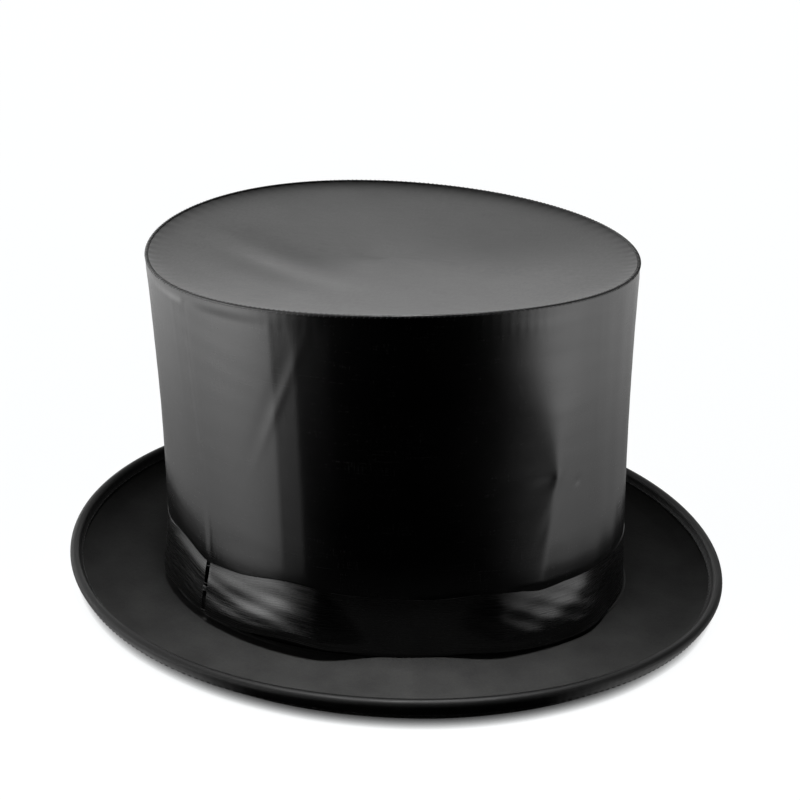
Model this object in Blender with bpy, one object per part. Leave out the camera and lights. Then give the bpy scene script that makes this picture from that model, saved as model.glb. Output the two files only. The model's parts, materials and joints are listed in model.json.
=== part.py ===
"""A folding top hat: a satin crown on a spring-steel frame of four elbowed struts, and a curled felt brim.

The frame stands on the brim's underside at z = 0, with +Z up through the crown and +X to the front.
Outlines are ovals that narrow towards the front. The struts fold inward, so the crown drops flat.
"""

import math

import bmesh
import bpy
from mathutils import Matrix, Vector

MM = 0.001

# Outlines: half length, half width, how much narrower the front is than the back, and the centre's x and y.
# The crown has settled a little out of true, so its top stands off to one side.
BASE = (0.1030, 0.0876, -0.115, 0.0010, 0.0008)
TIP = (0.1042, 0.0896, -0.070, -0.0028, -0.0014)
RIM = (0.1482, 0.1302, -0.042, 0.0, 0.0)
WAIST = 0.0014
SIDES = 40

# How the crown's sewn top edge rises and dips: cosine and sine parts of its first three waves round the tip
EDGE_WAVES = ((0.0032, -0.0030), (-0.0005, -0.0011), (-0.0004, 0.0004))

# Heights
CROWN_HEIGHT = 0.1538
WALL_FOOT = 0.0030
COLLAR_FOOT = 0.0033
COLLAR_TOP = 0.0287
WALL_START = 0.0292
WALL_TOP = 0.1510
BAND_FOOT = 0.0055
BAND_TOP = 0.0315
SWEATBAND_FOOT = 0.0005
SWEATBAND_TOP = 0.0230
BOTTOM_RING = (0.0245, 0.0315)
TOP_RING = (0.1396, 0.1466)

# Layers, measured inward from the satin's outer face
GAP = 0.0003
SATIN = 0.0008
LINING = (0.0011, 0.0017)
COLLAR = 0.0018
RING = (0.0021, 0.0033)
SWEATBAND = (0.0021, 0.0031)
BAND = (0.0003, 0.0011)

# Brim: three layers, flat and then curled up, with a wire in its bound edge
COVER = 0.0006
CORE = 0.0010
BRIM_MIDDLE = COVER + GAP + CORE / 2
CURL_LENGTH = 0.0154
CORE_END = 0.0142
COVER_END = 0.0131
WIRE_RADIUS = 0.0008
BINDING = (0.0017, 0.0023)
BINDING_REACH = 0.0041

# How far the edge has turned up at its end, in degrees: a mean, and cosine parts of its waves round the hat
CURL_TURN = 77.4
CURL_WAVES = (1.4, -6.3, -9.7)

# Crown tip: a slack disc inside a corded edge
TIP_EDGE = 0.0026
TIP_TOP = 0.1525
TIP_THICK = 0.0012
TIP_SAG = 0.0040
TIP_LINING_EDGE = 0.0037
TIP_LINING_THICK = 0.0005
PIPING_HEIGHT = 0.0022
PIPING_WIDTH = 0.0021

# Base piping
PIPING_RADIUS = 0.0007
PIPING_OUT = 0.0011

# Band joint: the ribbon's two ends meet at the wearer's right, and a knot holds them
JOINT_ANGLE = math.radians(-123.5)
JOINT_HALF_GAP = math.radians(0.35)
KNOT_HALF_SIZE = (0.0007, 0.0016, 0.0022)
KNOT_HEIGHT = 0.0185

# Struts: where each stands on the base outline, and the heading it faces outward, in degrees
STRUTS = ((33, 35), (-33, -35), (145, 141), (-145, -141))
PIVOT_INSET = 0.0115
BOTTOM_PIVOT = 0.0280
TOP_PIVOT = 0.1431
OVER_CENTRE = math.radians(2)
ARM_LENGTH = (TOP_PIVOT - BOTTOM_PIVOT) / (2 * math.cos(OVER_CENTRE))
ARM_WIDTH = 0.0050
LOWER_LANE = (-0.0017, -0.0002)
UPPER_LANE = (0.0002, 0.0017)
BOTTOM_EAR = (-0.0036, -0.0021)
TOP_EAR = (0.0021, 0.0036)
EAR_REACH = 0.0032
PLATE_THICK = 0.0012
PLATE_GAP = 0.0011
PLATE_LONG = 0.0060
PLATE_HALF_HEIGHT = 0.0030
EAR_BEVEL = 0.0020
RIVET_OFF = 0.0038
RIVET_RADIUS = 0.0009
RIVET_HOLE = 0.0012
RIVET_HEAD = 0.0017
RIVET_HEAD_THICK = 0.0008
RIVET_DOME = 0.7
RIVET_REACH = 0.0010
PIN_RADIUS = 0.0011
PIN_HOLE = 0.0014
HEAD_RADIUS = 0.0022
HEAD_THICK = 0.0009
HEAD_DOME = 0.75
DRILL_LENGTH = 0.0040

# Elbow spring: a coil round the pin with a leg along each arm
COIL_RADIUS = 0.0026
SPRING_WIRE = 0.0004
COIL_TURNS = 3.5
COIL_STEP = 0.0009
LEG_LENGTH = 0.0150
COIL_LANE = 0.0026
SPRING_HEAD = 0.0032

MATERIALS = {
    "black_satin": ((0.012, 0.012, 0.014), 0.28, 0.0),
    "lining_cotton": ((0.020, 0.019, 0.020), 0.85, 0.0),
    "black_felt": ((0.022, 0.022, 0.023), 0.95, 0.0),
    "buckram": ((0.045, 0.040, 0.034), 0.90, 0.0),
    "ribbon": ((0.010, 0.010, 0.011), 0.35, 0.0),
    "thread": ((0.008, 0.008, 0.008), 0.60, 0.0),
    "sweat_leather": ((0.055, 0.030, 0.017), 0.55, 0.0),
    "blued_steel": ((0.120, 0.120, 0.130), 0.38, 1.0),
    "spring_wire": ((0.300, 0.300, 0.310), 0.30, 1.0),
}


def clear_scene():
    for thing in list(bpy.data.objects):
        bpy.data.objects.remove(thing, do_unlink=True)


def material(name):
    """The named material, made once from its colour, roughness and metallic value."""
    found = bpy.data.materials.get(name)
    if found:
        return found
    colour, roughness, metallic = MATERIALS[name]
    made = bpy.data.materials.new(name)
    made.use_nodes = True
    shader = made.node_tree.nodes["Principled BSDF"]
    shader.inputs["Base Color"].default_value = (*colour, 1.0)
    shader.inputs["Roughness"].default_value = roughness
    shader.inputs["Metallic"].default_value = metallic
    made.diffuse_color = (*colour, 1.0)
    return made


def finish(name, bm, look, origin=(0.0, 0.0, 0.0), sharp=40):
    """Close a mesh's making: faces out, smooth where round, with its origin at the given point."""
    bmesh.ops.remove_doubles(bm, verts=bm.verts, dist=1e-6)
    bmesh.ops.recalc_face_normals(bm, faces=bm.faces)
    if bm.calc_volume(signed=True) < 0:
        bmesh.ops.reverse_faces(bm, faces=bm.faces)
    bm.transform(Matrix.Translation(-Vector(origin)))
    mesh = bpy.data.meshes.new(name)
    bm.to_mesh(mesh)
    bm.free()
    mesh.shade_smooth()
    mesh.set_sharp_from_angle(angle=math.radians(sharp))
    mesh.materials.append(material(look))
    made = bpy.data.objects.new(name, mesh)
    made.location = origin
    bpy.context.collection.objects.link(made)
    return made


# Outlines


def oval(angle, size, outward=0.0):
    """A point of an oval that narrows towards +X, moved outward along its normal."""
    a, b, egg, x, y = size
    c, s = math.cos(angle), math.sin(angle)
    narrow = 1 + egg * c
    across = b * c * narrow - b * egg * s * s
    along = -a * s
    length = math.hypot(across, along)
    return x + a * c + outward * across / length, y + b * s * narrow - outward * along / length


def wall_size(z):
    """The crown wall's outline at a height: it widens to the tip and draws in at its waist."""
    share = (z - WALL_FOOT) / (WALL_TOP - WALL_FOOT)
    drawn = WAIST * 4 * share * (1 - share)
    a, b, *rest = (base + (tip - base) * share for base, tip in zip(BASE, TIP))
    return (a - drawn, b - drawn, *rest)


def edge_rise(angle):
    """How far the crown's sewn edge stands above or below its mean height."""
    waves = enumerate(EDGE_WAVES, start=1)
    return sum(c * math.cos(n * angle) + s * math.sin(n * angle) for n, (c, s) in waves)


def curl(angle, along, off):
    """A point of the brim's curled section, at a length along it: its outline, outward step and height."""
    waves = enumerate(CURL_WAVES, start=1)
    end = math.radians(CURL_TURN + sum(c * math.cos(n * angle) for n, c in waves))
    radius = CURL_LENGTH / end
    start = -BINDING[1] - radius * math.sin(min(end, math.pi / 2))
    turn = along / radius
    out = start + (radius + off) * math.sin(turn)
    return RIM, out, BRIM_MIDDLE + radius - (radius + off) * math.cos(turn)


def ring(name, section, look, start=None, end=None, sides=SIDES, sharp=40):
    """A solid that follows the ovals round. Its section is a closed list of (outline, outward step, z)."""
    closed = start is None
    count = sides if closed else sides + 1
    first = 0.0 if closed else start
    span = 2 * math.pi if closed else end - start
    bm = bmesh.new()
    rows = []
    for i in range(count):
        angle = first + span * i / sides
        rows.append([bm.verts.new((*oval(angle, size, out), z)) for size, out, z in section(angle)])
    n = len(rows[0])
    for i in range(sides):
        here, there = rows[i], rows[(i + 1) % count]
        for j in range(n):
            k = (j + 1) % n
            bm.faces.new((here[j], there[j], there[k], here[k]))
    if not closed:
        bm.faces.new(rows[0])
        bm.faces.new(reversed(rows[-1]))
    return finish(name, bm, look, sharp=sharp)


def wall_section(inner, outer, levels):
    """A wall layer's closed section between two insets. What passes the top ring ends at the sewn edge."""

    def section(angle):
        risen = [z + (edge_rise(angle) if z > TOP_RING[1] else 0.0) for z in levels]
        out = [(wall_size(z), -outer, top) for z, top in zip(levels, risen)]
        back = [(wall_size(z), -inner, top) for z, top in zip(levels, risen)]
        return out + back[::-1]

    return section


def spaced(low, high, count):
    return [low + (high - low) * i / (count - 1) for i in range(count)]


def disc(name, top_of, thick, edge, look, rings=3):
    """A slack round cloth inside the tip's outline, whose top is given by its share of the radius."""
    bm = bmesh.new()
    size = wall_size(WALL_TOP)
    layers = []
    for drop in (0.0, thick):
        centre = bm.verts.new((size[3], size[4], top_of(0) - drop))
        rows = [[centre] * SIDES]
        for r in range(1, rings + 1):
            share = r / rings
            row = []
            for i in range(SIDES):
                angle = 2 * math.pi * i / SIDES
                x, y = oval(angle, size, -edge)
                x = size[3] + (x - size[3]) * share
                y = size[4] + (y - size[4]) * share
                row.append(bm.verts.new((x, y, top_of(share) + edge_rise(angle) * share - drop)))
            rows.append(row)
        layers.append(rows)
        for inner, outer in zip(rows, rows[1:]):
            for i in range(SIDES):
                k = (i + 1) % SIDES
                corners = dict.fromkeys((inner[i], outer[i], outer[k], inner[k]))
                bm.faces.new(list(corners))
    for i in range(SIDES):
        k = (i + 1) % SIDES
        bm.faces.new((layers[0][-1][i], layers[0][-1][k], layers[1][-1][k], layers[1][-1][i]))
    return finish(name, bm, look)


# The brim and the crown's foot


def make_brim():
    def layer(low, high, end):
        def section(angle):
            lengths = spaced(0.0, end, 4)
            foot = [(BASE, -COLLAR, BRIM_MIDDLE - high), (BASE, -COLLAR, BRIM_MIDDLE - low)]
            up = [curl(angle, length, low) for length in lengths]
            down = [curl(angle, length, high) for length in reversed(lengths)]
            return [foot[1], *up, *down, foot[0]]

        return section

    half = CORE / 2
    ring("brim_core", layer(-half, half, CORE_END), "buckram")
    ring("brim_top_cover", layer(-half - GAP - COVER, -half - GAP, COVER_END), "black_felt")
    ring("brim_under_cover", layer(half + GAP, half + GAP + COVER, COVER_END), "black_felt")


def edge_point(angle, radius, turn):
    """A point round the brim wire's centre; turn 0 points on along the curl, a quarter turn outward."""
    size, out, z = curl(angle, CURL_LENGTH, 0.0)
    further = curl(angle, CURL_LENGTH, 1.0)
    across = (further[1] - out, further[2] - z)
    along = (-across[1], across[0])
    c, s = radius * math.cos(turn), radius * math.sin(turn)
    return size, out + c * along[0] + s * across[0], z + c * along[1] + s * across[1]


def make_brim_edge():
    steps = 6
    inner, outer = BINDING
    quarter = math.pi / 2
    arc = spaced(quarter, -quarter, 4)
    leg = CURL_LENGTH - BINDING_REACH

    def wire(angle):
        return [edge_point(angle, WIRE_RADIUS, 2 * math.pi * i / steps) for i in range(steps)]

    def binding(angle):
        section = [curl(angle, leg, outer)]
        section += [edge_point(angle, outer, a) for a in arc]
        section += [curl(angle, leg, -outer), curl(angle, leg, -inner)]
        section += [edge_point(angle, inner, a) for a in reversed(arc)]
        return [*section, curl(angle, leg, inner)]

    ring("brim_edge_wire", wire, "spring_wire")
    ring("brim_binding", binding, "ribbon")


def make_crown_foot():
    ring("base_collar", wall_section(0.0, COLLAR, (COLLAR_FOOT, COLLAR_TOP)), "buckram")
    ring("sweatband", wall_section(*SWEATBAND, (SWEATBAND_FOOT, SWEATBAND_TOP)), "sweat_leather")
    band = wall_section(-BAND[0], -BAND[1], (BAND_FOOT, BAND_TOP))
    start = JOINT_ANGLE + JOINT_HALF_GAP
    end = JOINT_ANGLE - JOINT_HALF_GAP + 2 * math.pi
    ring("hat_band", band, "ribbon", start, end)
    steps = 6
    cord = []
    for i in range(steps):
        angle = 2 * math.pi * i / steps
        out = PIPING_OUT + PIPING_RADIUS * math.cos(angle)
        z = COLLAR_FOOT + PIPING_RADIUS * (1 + math.sin(angle))
        cord.append((BASE, out, z))
    ring("base_piping", lambda angle: cord, "ribbon")


def make_band_knot():
    """The stitched knot that holds the ribbon's two ends together."""
    x, y = oval(JOINT_ANGLE, wall_size(KNOT_HEIGHT), BAND[1] + GAP + KNOT_HALF_SIZE[0])
    bm = bmesh.new()
    bmesh.ops.create_uvsphere(bm, u_segments=8, v_segments=5, radius=1.0)
    turn = math.atan2(y, x)
    shape = Matrix.Rotation(turn, 4, "Z") @ Matrix.Diagonal((*KNOT_HALF_SIZE, 1.0))
    bm.transform(Matrix.Translation((x, y, KNOT_HEIGHT)) @ shape)
    finish("band_knot", bm, "thread", origin=(x, y, KNOT_HEIGHT))


def make_crown_walls():
    levels = spaced(WALL_START, WALL_TOP, 4)
    ring("crown_side_cover", wall_section(0.0, SATIN, levels), "black_satin")
    ring("crown_side_lining", wall_section(*LINING, levels), "lining_cotton")


# The crown top


def tip_top(share):
    return TIP_TOP - TIP_SAG * (1 - share * share)


def make_crown_top():
    disc("crown_tip", tip_top, TIP_THICK, TIP_EDGE, "black_satin")

    def lining_top(share):
        return tip_top(share) - TIP_THICK - GAP

    disc("tip_lining", lining_top, TIP_LINING_THICK, TIP_LINING_EDGE, "lining_cotton")
    size = wall_size(WALL_TOP)
    low, high = CROWN_HEIGHT - PIPING_HEIGHT, CROWN_HEIGHT
    round_off = PIPING_WIDTH / 4
    profile = [
        (0.0, low),
        (0.0, high - round_off),
        (-round_off, high),
        (round_off - PIPING_WIDTH, high),
        (-PIPING_WIDTH, high - round_off),
        (-PIPING_WIDTH, low),
    ]

    def section(angle):
        return [(size, out, z + edge_rise(angle)) for out, z in profile]

    ring("tip_piping", section, "ribbon")


# The struts, each in its own frame: u outward, v along the wall, w up


class Strut:
    """One folding strut's place: a point on the base outline, its heading and its hand."""

    def __init__(self, place, heading):
        x, y = oval(math.radians(place), BASE)
        turn = math.radians(heading)
        hand = math.copysign(1.0, math.sin(turn) * math.cos(turn))
        self.origin = Vector((x, y, 0.0))
        self.out = Vector((math.cos(turn), math.sin(turn), 0.0))
        self.along = Vector((-math.sin(turn), math.cos(turn), 0.0)) * hand

    def point(self, u, v, w):
        return self.origin + self.out * u + self.along * v + Vector((0.0, 0.0, w))

    def pivot(self, z):
        return self.point(-PIVOT_INSET, 0.0, z)

    def elbow(self):
        u = -PIVOT_INSET + ARM_LENGTH * math.sin(OVER_CENTRE)
        return self.point(u, 0.0, BOTTOM_PIVOT + ARM_LENGTH * math.cos(OVER_CENTRE))

    def wall(self, size, inset):
        """How far out the layer at an inset of an outline lies, straight along this strut's heading."""
        steps = 7200
        near_side = -2 * PIVOT_INSET
        best = None
        for i in range(steps):
            x, y = oval(2 * math.pi * i / steps, size, -inset)
            step = Vector((x, y, 0.0)) - self.origin
            off = abs(step.dot(self.along))
            if step.dot(self.out) > near_side and (best is None or off < best[0]):
                best = (off, step.dot(self.out))
        return best[1]

    def matrix(self, at):
        """Places a shape whose Z runs along the wall, X outward and Y up, at a point."""
        up = Vector((0.0, 0.0, 1.0))
        turn = Matrix((self.out, up, self.along)).transposed().to_4x4()
        return Matrix.Translation(at) @ turn


def circle(u, w, radius, steps=8):
    return [
        (u + radius * math.cos(2 * math.pi * i / steps), w + radius * math.sin(2 * math.pi * i / steps))
        for i in range(steps)
    ]


def stadium(start, end, radius, steps=5):
    """The outline of a bar with round ends between two (u, w) points."""
    heading = math.atan2(end[1] - start[1], end[0] - start[0])
    points = []
    for centre, first in ((end, heading - math.pi / 2), (start, heading + math.pi / 2)):
        for i in range(steps + 1):
            angle = first + math.pi * i / steps
            points.append((centre[0] + radius * math.cos(angle), centre[1] + radius * math.sin(angle)))
    return points


def make_arm(name, strut, ends, lane, origin):
    """A flat steel bar between two pivots, with a pin hole at each."""
    bm = bmesh.new()
    edges = []
    loops = [stadium(*ends, ARM_WIDTH / 2)]
    loops += [circle(u, w, PIN_HOLE) for u, w in ends]
    for loop in loops:
        verts = [bm.verts.new(strut.point(u, lane[0], w)) for u, w in loop]
        edges += [bm.edges.new((v, verts[(i + 1) % len(verts)])) for i, v in enumerate(verts)]
    bmesh.ops.triangle_fill(bm, edges=edges, use_beauty=True, use_dissolve=False)
    raised = bmesh.ops.extrude_face_region(bm, geom=list(bm.faces))
    verts = [g for g in raised["geom"] if isinstance(g, bmesh.types.BMVert)]
    bmesh.ops.translate(bm, verts=verts, vec=strut.along * (lane[1] - lane[0]))
    finish(name, bm, "blued_steel", origin=origin)


def turned(strut, at, profile, steps=8):
    """A round solid about the strut's pin line: profile is a list of (v, radius) from end to end."""
    bm = bmesh.new()
    rows = []
    for v, radius in profile:
        row = []
        for i in range(steps):
            angle = 2 * math.pi * i / steps
            offset = strut.out * (radius * math.cos(angle)) + Vector((0, 0, radius * math.sin(angle)))
            row.append(bm.verts.new(at + strut.along * v + offset))
        rows.append(row)
    for low, high in zip(rows, rows[1:]):
        for i in range(steps):
            k = (i + 1) % steps
            bm.faces.new((low[i], low[k], high[k], high[i]))
    bm.faces.new(rows[0])
    bm.faces.new(reversed(rows[-1]))
    return bm


def pin_profile(low, high, low_head=HEAD_RADIUS, high_head=HEAD_RADIUS):
    """A headed pin whose shank runs from low to high, with a domed head past each end."""
    return [
        (low - HEAD_THICK, low_head * HEAD_DOME),
        (low - HEAD_THICK / 2, low_head),
        (low, low_head),
        (low, PIN_RADIUS),
        (high, PIN_RADIUS),
        (high, high_head),
        (high + HEAD_THICK / 2, high_head),
        (high + HEAD_THICK, high_head * HEAD_DOME),
    ]


def drill(target, strut, at, radius, across):
    """Bores a hole through a piece, along the wall or straight out."""
    bm = bmesh.new()
    bmesh.ops.create_cone(bm, cap_ends=True, segments=8, radius1=radius, radius2=radius, depth=DRILL_LENGTH)
    place = strut.matrix(at)
    if not across:
        place = place @ Matrix.Rotation(math.pi / 2, 4, "Y")
    bm.transform(place)
    cutter = finish(target.name + "_cutter", bm, "blued_steel")
    cutter.hide_render = True
    cutter.display_type = "WIRE"
    cut = target.modifiers.new("hole", "BOOLEAN")
    cut.object = cutter
    cut.operation = "DIFFERENCE"
    cut.solver = "EXACT"


def make_bracket(name, strut, plate, pivot_z, ear, side):
    """An L of sheet steel: a plate against its ring and an ear that carries the pin."""
    back, front = plate - PLATE_THICK, plate
    tip = -PIVOT_INSET - EAR_REACH
    far = side * PLATE_LONG
    near, inner = (ear[0], ear[1]) if side > 0 else (ear[1], ear[0])
    outline = [(front, near), (front, far), (back, far), (back, inner), (tip, inner), (tip, near)]
    bm = bmesh.new()
    low = [bm.verts.new(strut.point(u, v, pivot_z - PLATE_HALF_HEIGHT)) for u, v in outline]
    high = [bm.verts.new(strut.point(u, v, pivot_z + PLATE_HALF_HEIGHT)) for u, v in outline]
    bm.faces.new(low)
    bm.faces.new(reversed(high))
    for i in range(len(outline)):
        k = (i + 1) % len(outline)
        bm.faces.new((low[i], low[k], high[k], high[i]))
    corner = strut.point(tip, (near + inner) / 2, pivot_z)
    ends = [e for e in bm.edges if is_ear_corner(e, corner, strut)]
    bmesh.ops.bevel(bm, geom=ends, offset=EAR_BEVEL, segments=3, profile=0.5, affect="EDGES")
    made = finish(name, bm, "blued_steel", origin=strut.pivot(pivot_z), sharp=30)
    drill(made, strut, strut.point(-PIVOT_INSET, (ear[0] + ear[1]) / 2, pivot_z), PIN_HOLE, True)
    hole = strut.point((back + front) / 2, side * RIVET_OFF, pivot_z)
    drill(made, strut, hole, RIVET_HOLE, False)
    return made


def is_ear_corner(edge, corner, strut):
    """Whether an edge is one of the two across the ear's free end."""
    middle = (edge.verts[0].co + edge.verts[1].co) / 2
    step = middle - corner
    crosswise = abs((edge.verts[0].co - edge.verts[1].co).dot(strut.along)) > 1e-4
    return crosswise and abs(step.dot(strut.out)) < 1e-5 and abs(step.z) > 1e-3


def make_rivet(name, strut, plate, ring_in, side, z):
    """A rivet with its head inside the plate and its shank flush with the ring's outer face."""
    at = strut.point(0.0, side * RIVET_OFF, z)
    head = plate - PLATE_THICK - GAP
    profile = [
        (head - RIVET_HEAD_THICK, RIVET_HEAD * RIVET_DOME),
        (head - RIVET_HEAD_THICK / 2, RIVET_HEAD),
        (head, RIVET_HEAD),
        (head, RIVET_RADIUS),
        (ring_in + RIVET_REACH, RIVET_RADIUS),
    ]
    bm = bmesh.new()
    steps = 8
    rows = []
    for u, radius in profile:
        row = []
        for i in range(steps):
            angle = 2 * math.pi * i / steps
            offset = strut.along * (radius * math.cos(angle)) + Vector((0, 0, radius * math.sin(angle)))
            row.append(bm.verts.new(at + strut.out * u + offset))
        rows.append(row)
    for low, high in zip(rows, rows[1:]):
        for i in range(steps):
            k = (i + 1) % steps
            bm.faces.new((low[i], low[k], high[k], high[i]))
    bm.faces.new(rows[0])
    bm.faces.new(reversed(rows[-1]))
    finish(name, bm, "spring_wire", origin=strut.point(plate, side * RIVET_OFF, z))


def spring_path(strut):
    """The torsion spring's centreline: a leg down the lower arm, the coil, and a leg up the upper arm."""
    elbow = strut.elbow()
    lean = math.sin(OVER_CENTRE), math.cos(OVER_CENTRE)
    per_turn = 8
    steps = int(COIL_TURNS * per_turn)
    points = []

    def place(u, v, w):
        return elbow + strut.out * u + strut.along * v + Vector((0.0, 0.0, w))

    for share in (1.0, 0.5):
        reach = LEG_LENGTH * share
        points.append(place(-COIL_RADIUS - lean[0] * reach, COIL_LANE, -lean[1] * reach))
    for i in range(steps + 1):
        angle = math.pi + 2 * math.pi * i / per_turn
        v = COIL_LANE + COIL_STEP * i / per_turn
        points.append(place(COIL_RADIUS * math.cos(angle), v, COIL_RADIUS * math.sin(angle)))
    end_v = COIL_LANE + COIL_STEP * COIL_TURNS
    turned_by = math.pi + 2 * math.pi * COIL_TURNS
    side = COIL_RADIUS * math.cos(turned_by)
    for share in (0.5, 1.0):
        reach = LEG_LENGTH * share
        points.append(place(side - lean[0] * reach, end_v, lean[1] * reach))
    return points


def make_spring(name, strut):
    """Sweeps the spring's wire along its centreline."""
    path = spring_path(strut)
    bm = bmesh.new()
    steps = 4
    rows = []
    for i, point in enumerate(path):
        ahead = path[min(i + 1, len(path) - 1)] - path[max(i - 1, 0)]
        tangent = ahead.normalized()
        side = strut.along - tangent * strut.along.dot(tangent)
        side.normalize()
        other = tangent.cross(side)
        row = []
        for k in range(steps):
            angle = 2 * math.pi * k / steps
            offset = side * math.cos(angle) + other * math.sin(angle)
            row.append(bm.verts.new(point + offset * SPRING_WIRE))
        rows.append(row)
    for low, high in zip(rows, rows[1:]):
        for i in range(steps):
            k = (i + 1) % steps
            bm.faces.new((low[i], low[k], high[k], high[i]))
    bm.faces.new(rows[0])
    bm.faces.new(reversed(rows[-1]))
    finish(name, bm, "spring_wire", origin=strut.elbow())


def make_strut(number, strut, bottom_ring, top_ring):
    """One strut: two brackets on their rings, two arms, three pins, two rivets and the elbow spring."""
    bottom = (-PIVOT_INSET, BOTTOM_PIVOT)
    top = (-PIVOT_INSET, TOP_PIVOT)
    middle = (-PIVOT_INSET + ARM_LENGTH * math.sin(OVER_CENTRE), (BOTTOM_PIVOT + TOP_PIVOT) / 2)
    make_arm(f"lower_arm_{number}", strut, (bottom, middle), LOWER_LANE, strut.pivot(BOTTOM_PIVOT))
    make_arm(f"upper_arm_{number}", strut, (middle, top), UPPER_LANE, strut.elbow())

    foot = strut.wall(wall_size(BOTTOM_PIVOT), RING[1])
    plate = foot - PLATE_GAP
    make_bracket(f"bottom_bracket_{number}", strut, plate, BOTTOM_PIVOT, BOTTOM_EAR, 1)
    make_rivet(f"bottom_rivet_{number}", strut, plate, foot, 1, BOTTOM_PIVOT)
    drill(bottom_ring, strut, strut.point(foot, RIVET_OFF, BOTTOM_PIVOT), RIVET_HOLE, False)

    head = strut.wall(wall_size(TOP_PIVOT), RING[1])
    plate = head - PLATE_GAP
    make_bracket(f"top_bracket_{number}", strut, plate, TOP_PIVOT, TOP_EAR, -1)
    make_rivet(f"top_rivet_{number}", strut, plate, head, -1, TOP_PIVOT)
    drill(top_ring, strut, strut.point(head, -RIVET_OFF, TOP_PIVOT), RIVET_HOLE, False)

    low_pin = pin_profile(BOTTOM_EAR[0] - GAP, LOWER_LANE[1] + GAP)
    bm = turned(strut, strut.pivot(BOTTOM_PIVOT), low_pin)
    finish(f"bottom_pin_{number}", bm, "spring_wire", origin=strut.pivot(BOTTOM_PIVOT), sharp=30)
    high_pin = pin_profile(UPPER_LANE[0] - GAP, TOP_EAR[1] + GAP)
    bm = turned(strut, strut.pivot(TOP_PIVOT), high_pin)
    finish(f"top_pin_{number}", bm, "spring_wire", origin=strut.pivot(TOP_PIVOT), sharp=30)
    coil_end = COIL_LANE + COIL_STEP * COIL_TURNS + SPRING_WIRE + GAP
    long_pin = pin_profile(LOWER_LANE[0] - GAP, coil_end, HEAD_RADIUS, SPRING_HEAD)
    bm = turned(strut, strut.elbow(), long_pin)
    finish(f"elbow_pin_{number}", bm, "spring_wire", origin=strut.elbow(), sharp=30)
    make_spring(f"elbow_spring_{number}", strut)


def main():
    clear_scene()
    make_brim()
    make_brim_edge()
    make_crown_foot()
    make_band_knot()
    make_crown_walls()
    make_crown_top()
    bottom_ring = ring("bottom_ring", wall_section(*RING, BOTTOM_RING), "blued_steel")
    top_ring = ring("top_ring", wall_section(*RING, TOP_RING), "blued_steel")
    for number, (place, heading) in enumerate(STRUTS, start=1):
        make_strut(number, Strut(place, heading), bottom_ring, top_ring)


main()
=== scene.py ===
"""The finished look of a folding top hat: satin crown, ribbon band, felt brim and its sprung frame."""

import json
import math

import bmesh
import bpy
import numpy as np
from mathutils import Matrix, Vector


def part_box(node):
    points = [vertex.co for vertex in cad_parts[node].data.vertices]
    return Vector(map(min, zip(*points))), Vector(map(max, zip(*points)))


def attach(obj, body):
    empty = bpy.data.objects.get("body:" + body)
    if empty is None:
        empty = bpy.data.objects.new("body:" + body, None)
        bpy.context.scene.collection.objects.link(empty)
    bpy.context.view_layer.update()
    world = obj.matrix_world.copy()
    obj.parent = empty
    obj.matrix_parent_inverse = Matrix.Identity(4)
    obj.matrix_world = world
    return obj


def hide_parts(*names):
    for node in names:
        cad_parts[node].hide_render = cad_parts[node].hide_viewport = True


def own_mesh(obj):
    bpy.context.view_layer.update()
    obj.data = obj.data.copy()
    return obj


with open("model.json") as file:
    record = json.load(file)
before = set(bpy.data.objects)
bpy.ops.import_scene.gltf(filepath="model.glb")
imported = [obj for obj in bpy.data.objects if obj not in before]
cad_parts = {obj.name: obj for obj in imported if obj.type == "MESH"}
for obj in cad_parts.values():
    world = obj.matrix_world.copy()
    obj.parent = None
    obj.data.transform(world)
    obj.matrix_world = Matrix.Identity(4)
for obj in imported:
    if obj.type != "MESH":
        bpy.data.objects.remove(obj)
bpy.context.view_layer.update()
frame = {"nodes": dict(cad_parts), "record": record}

MM = 0.001
SEED = 11

# The outlines narrow towards the front (+X) by these shares, and the wall draws in at its waist.
BASE_EGG, TIP_EGG, RIM_EGG = -0.115, -0.070, -0.042
WAIST = 1.4 * MM

# How the crown's sewn top edge rises and dips, in millimetres: cosine and sine parts of three waves
EDGE_WAVES = ((3.2, -3.0), (-0.5, -1.1), (-0.4, 0.4))

# How far the brim's edge turns up, in degrees: a mean, and the cosine parts of its waves round the hat
CURL_TURN = 77.4
CURL_WAVES = (1.4, -6.3, -9.7)
CURL_LENGTH = 15.4 * MM
BINDING_OUT = 2.3 * MM
BRIM_MIDDLE = 1.4 * MM


def widest(egg):
    """How far an oval of half width 1 reaches sideways."""
    t = np.linspace(0, math.pi, 2001)
    return float((np.sin(t) * (1 + egg * np.cos(t))).max())


def outline_of(node, egg):
    """The oval that a node's outer face follows: half length, half width, narrowing and centre."""
    low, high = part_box(node)
    half_width = (high[1] - low[1]) / 2 / widest(egg)
    return (high[0] - low[0]) / 2, half_width, egg, (high[0] + low[0]) / 2, (high[1] + low[1]) / 2


def edge_rise(t):
    """How far the crown's sewn edge stands above or below its mean height."""
    waves = enumerate(EDGE_WAVES, start=1)
    return sum(c * np.cos(n * t) + s * np.sin(n * t) for n, (c, s) in waves) * MM


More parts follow.
